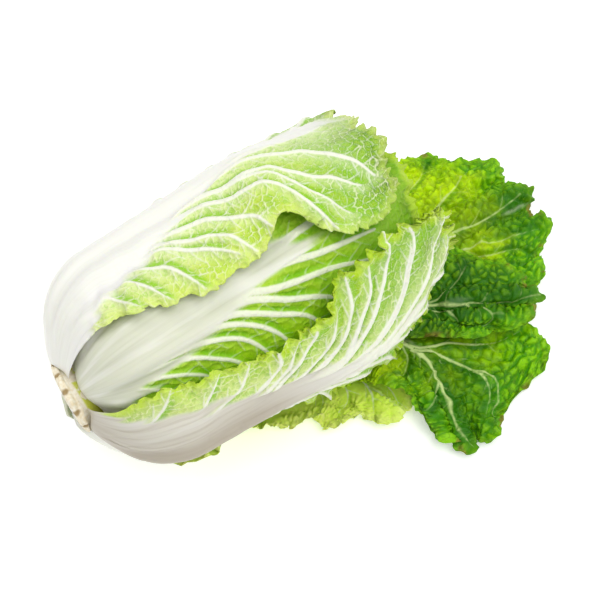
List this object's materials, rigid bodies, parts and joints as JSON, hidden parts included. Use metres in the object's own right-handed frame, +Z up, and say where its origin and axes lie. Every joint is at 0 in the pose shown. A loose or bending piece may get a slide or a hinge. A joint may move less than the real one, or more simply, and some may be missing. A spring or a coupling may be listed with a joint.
{
  "type": "chinese cabbage",
  "caption": "Barrel-headed chinese cabbage lying on its side, white ribs and crinkled green leaves wrapped round a dense heart, with loose outer leaves spread flat under it.",
  "frame": {"origin": "the flat spot under the lowest loose leaf, below the middle of the head", "axes": "+X along the head from the cut stem to the leaf tips, +Z up from the table, -Y the side where the loose leaves fan out furthest"},
  "size_m": [0.4249, 0.2706, 0.1961],
  "materials": {
    "stem": "cut cream stem flesh with dry leaf scars",
    "heart": "satin leaf flesh, pale rib into green blade",
    "inner_leaf_1": "satin leaf flesh, pale rib into green blade",
    "inner_leaf_2": "satin leaf flesh, pale rib into green blade",
    "inner_leaf_3": "satin leaf flesh, pale rib into green blade",
    "back_leaf": "satin leaf flesh, pale rib into green blade",
    "front_leaf": "satin leaf flesh, pale rib into green blade",
    "under_leaf": "satin leaf flesh, pale rib into green blade",
    "far_leaf": "satin leaf flesh, pale rib into green blade",
    "near_leaf": "satin leaf flesh, pale rib into green blade",
    "loose_leaf_1": "satin leaf flesh, pale rib into green blade",
    "loose_leaf_2": "satin leaf flesh, pale rib into green blade",
    "loose_leaf_3": "satin leaf flesh, pale rib into green blade",
    "loose_leaf_4": "satin leaf flesh, pale rib into green blade"
  },
  "bodies": {
    "root": {"stem": "stem", "heart": "heart", "inner_leaf_1": "inner_leaf_1", "inner_leaf_2": "inner_leaf_2", "inner_leaf_3": "inner_leaf_3", "back_leaf": "back_leaf", "front_leaf": "front_leaf", "under_leaf": "under_leaf", "far_leaf": "far_leaf", "near_leaf": "near_leaf", "loose_leaf_1": "loose_leaf_1", "loose_leaf_2": "loose_leaf_2", "loose_leaf_3": "loose_leaf_3", "loose_leaf_4": "loose_leaf_4"}
  },
  "joints": []
}
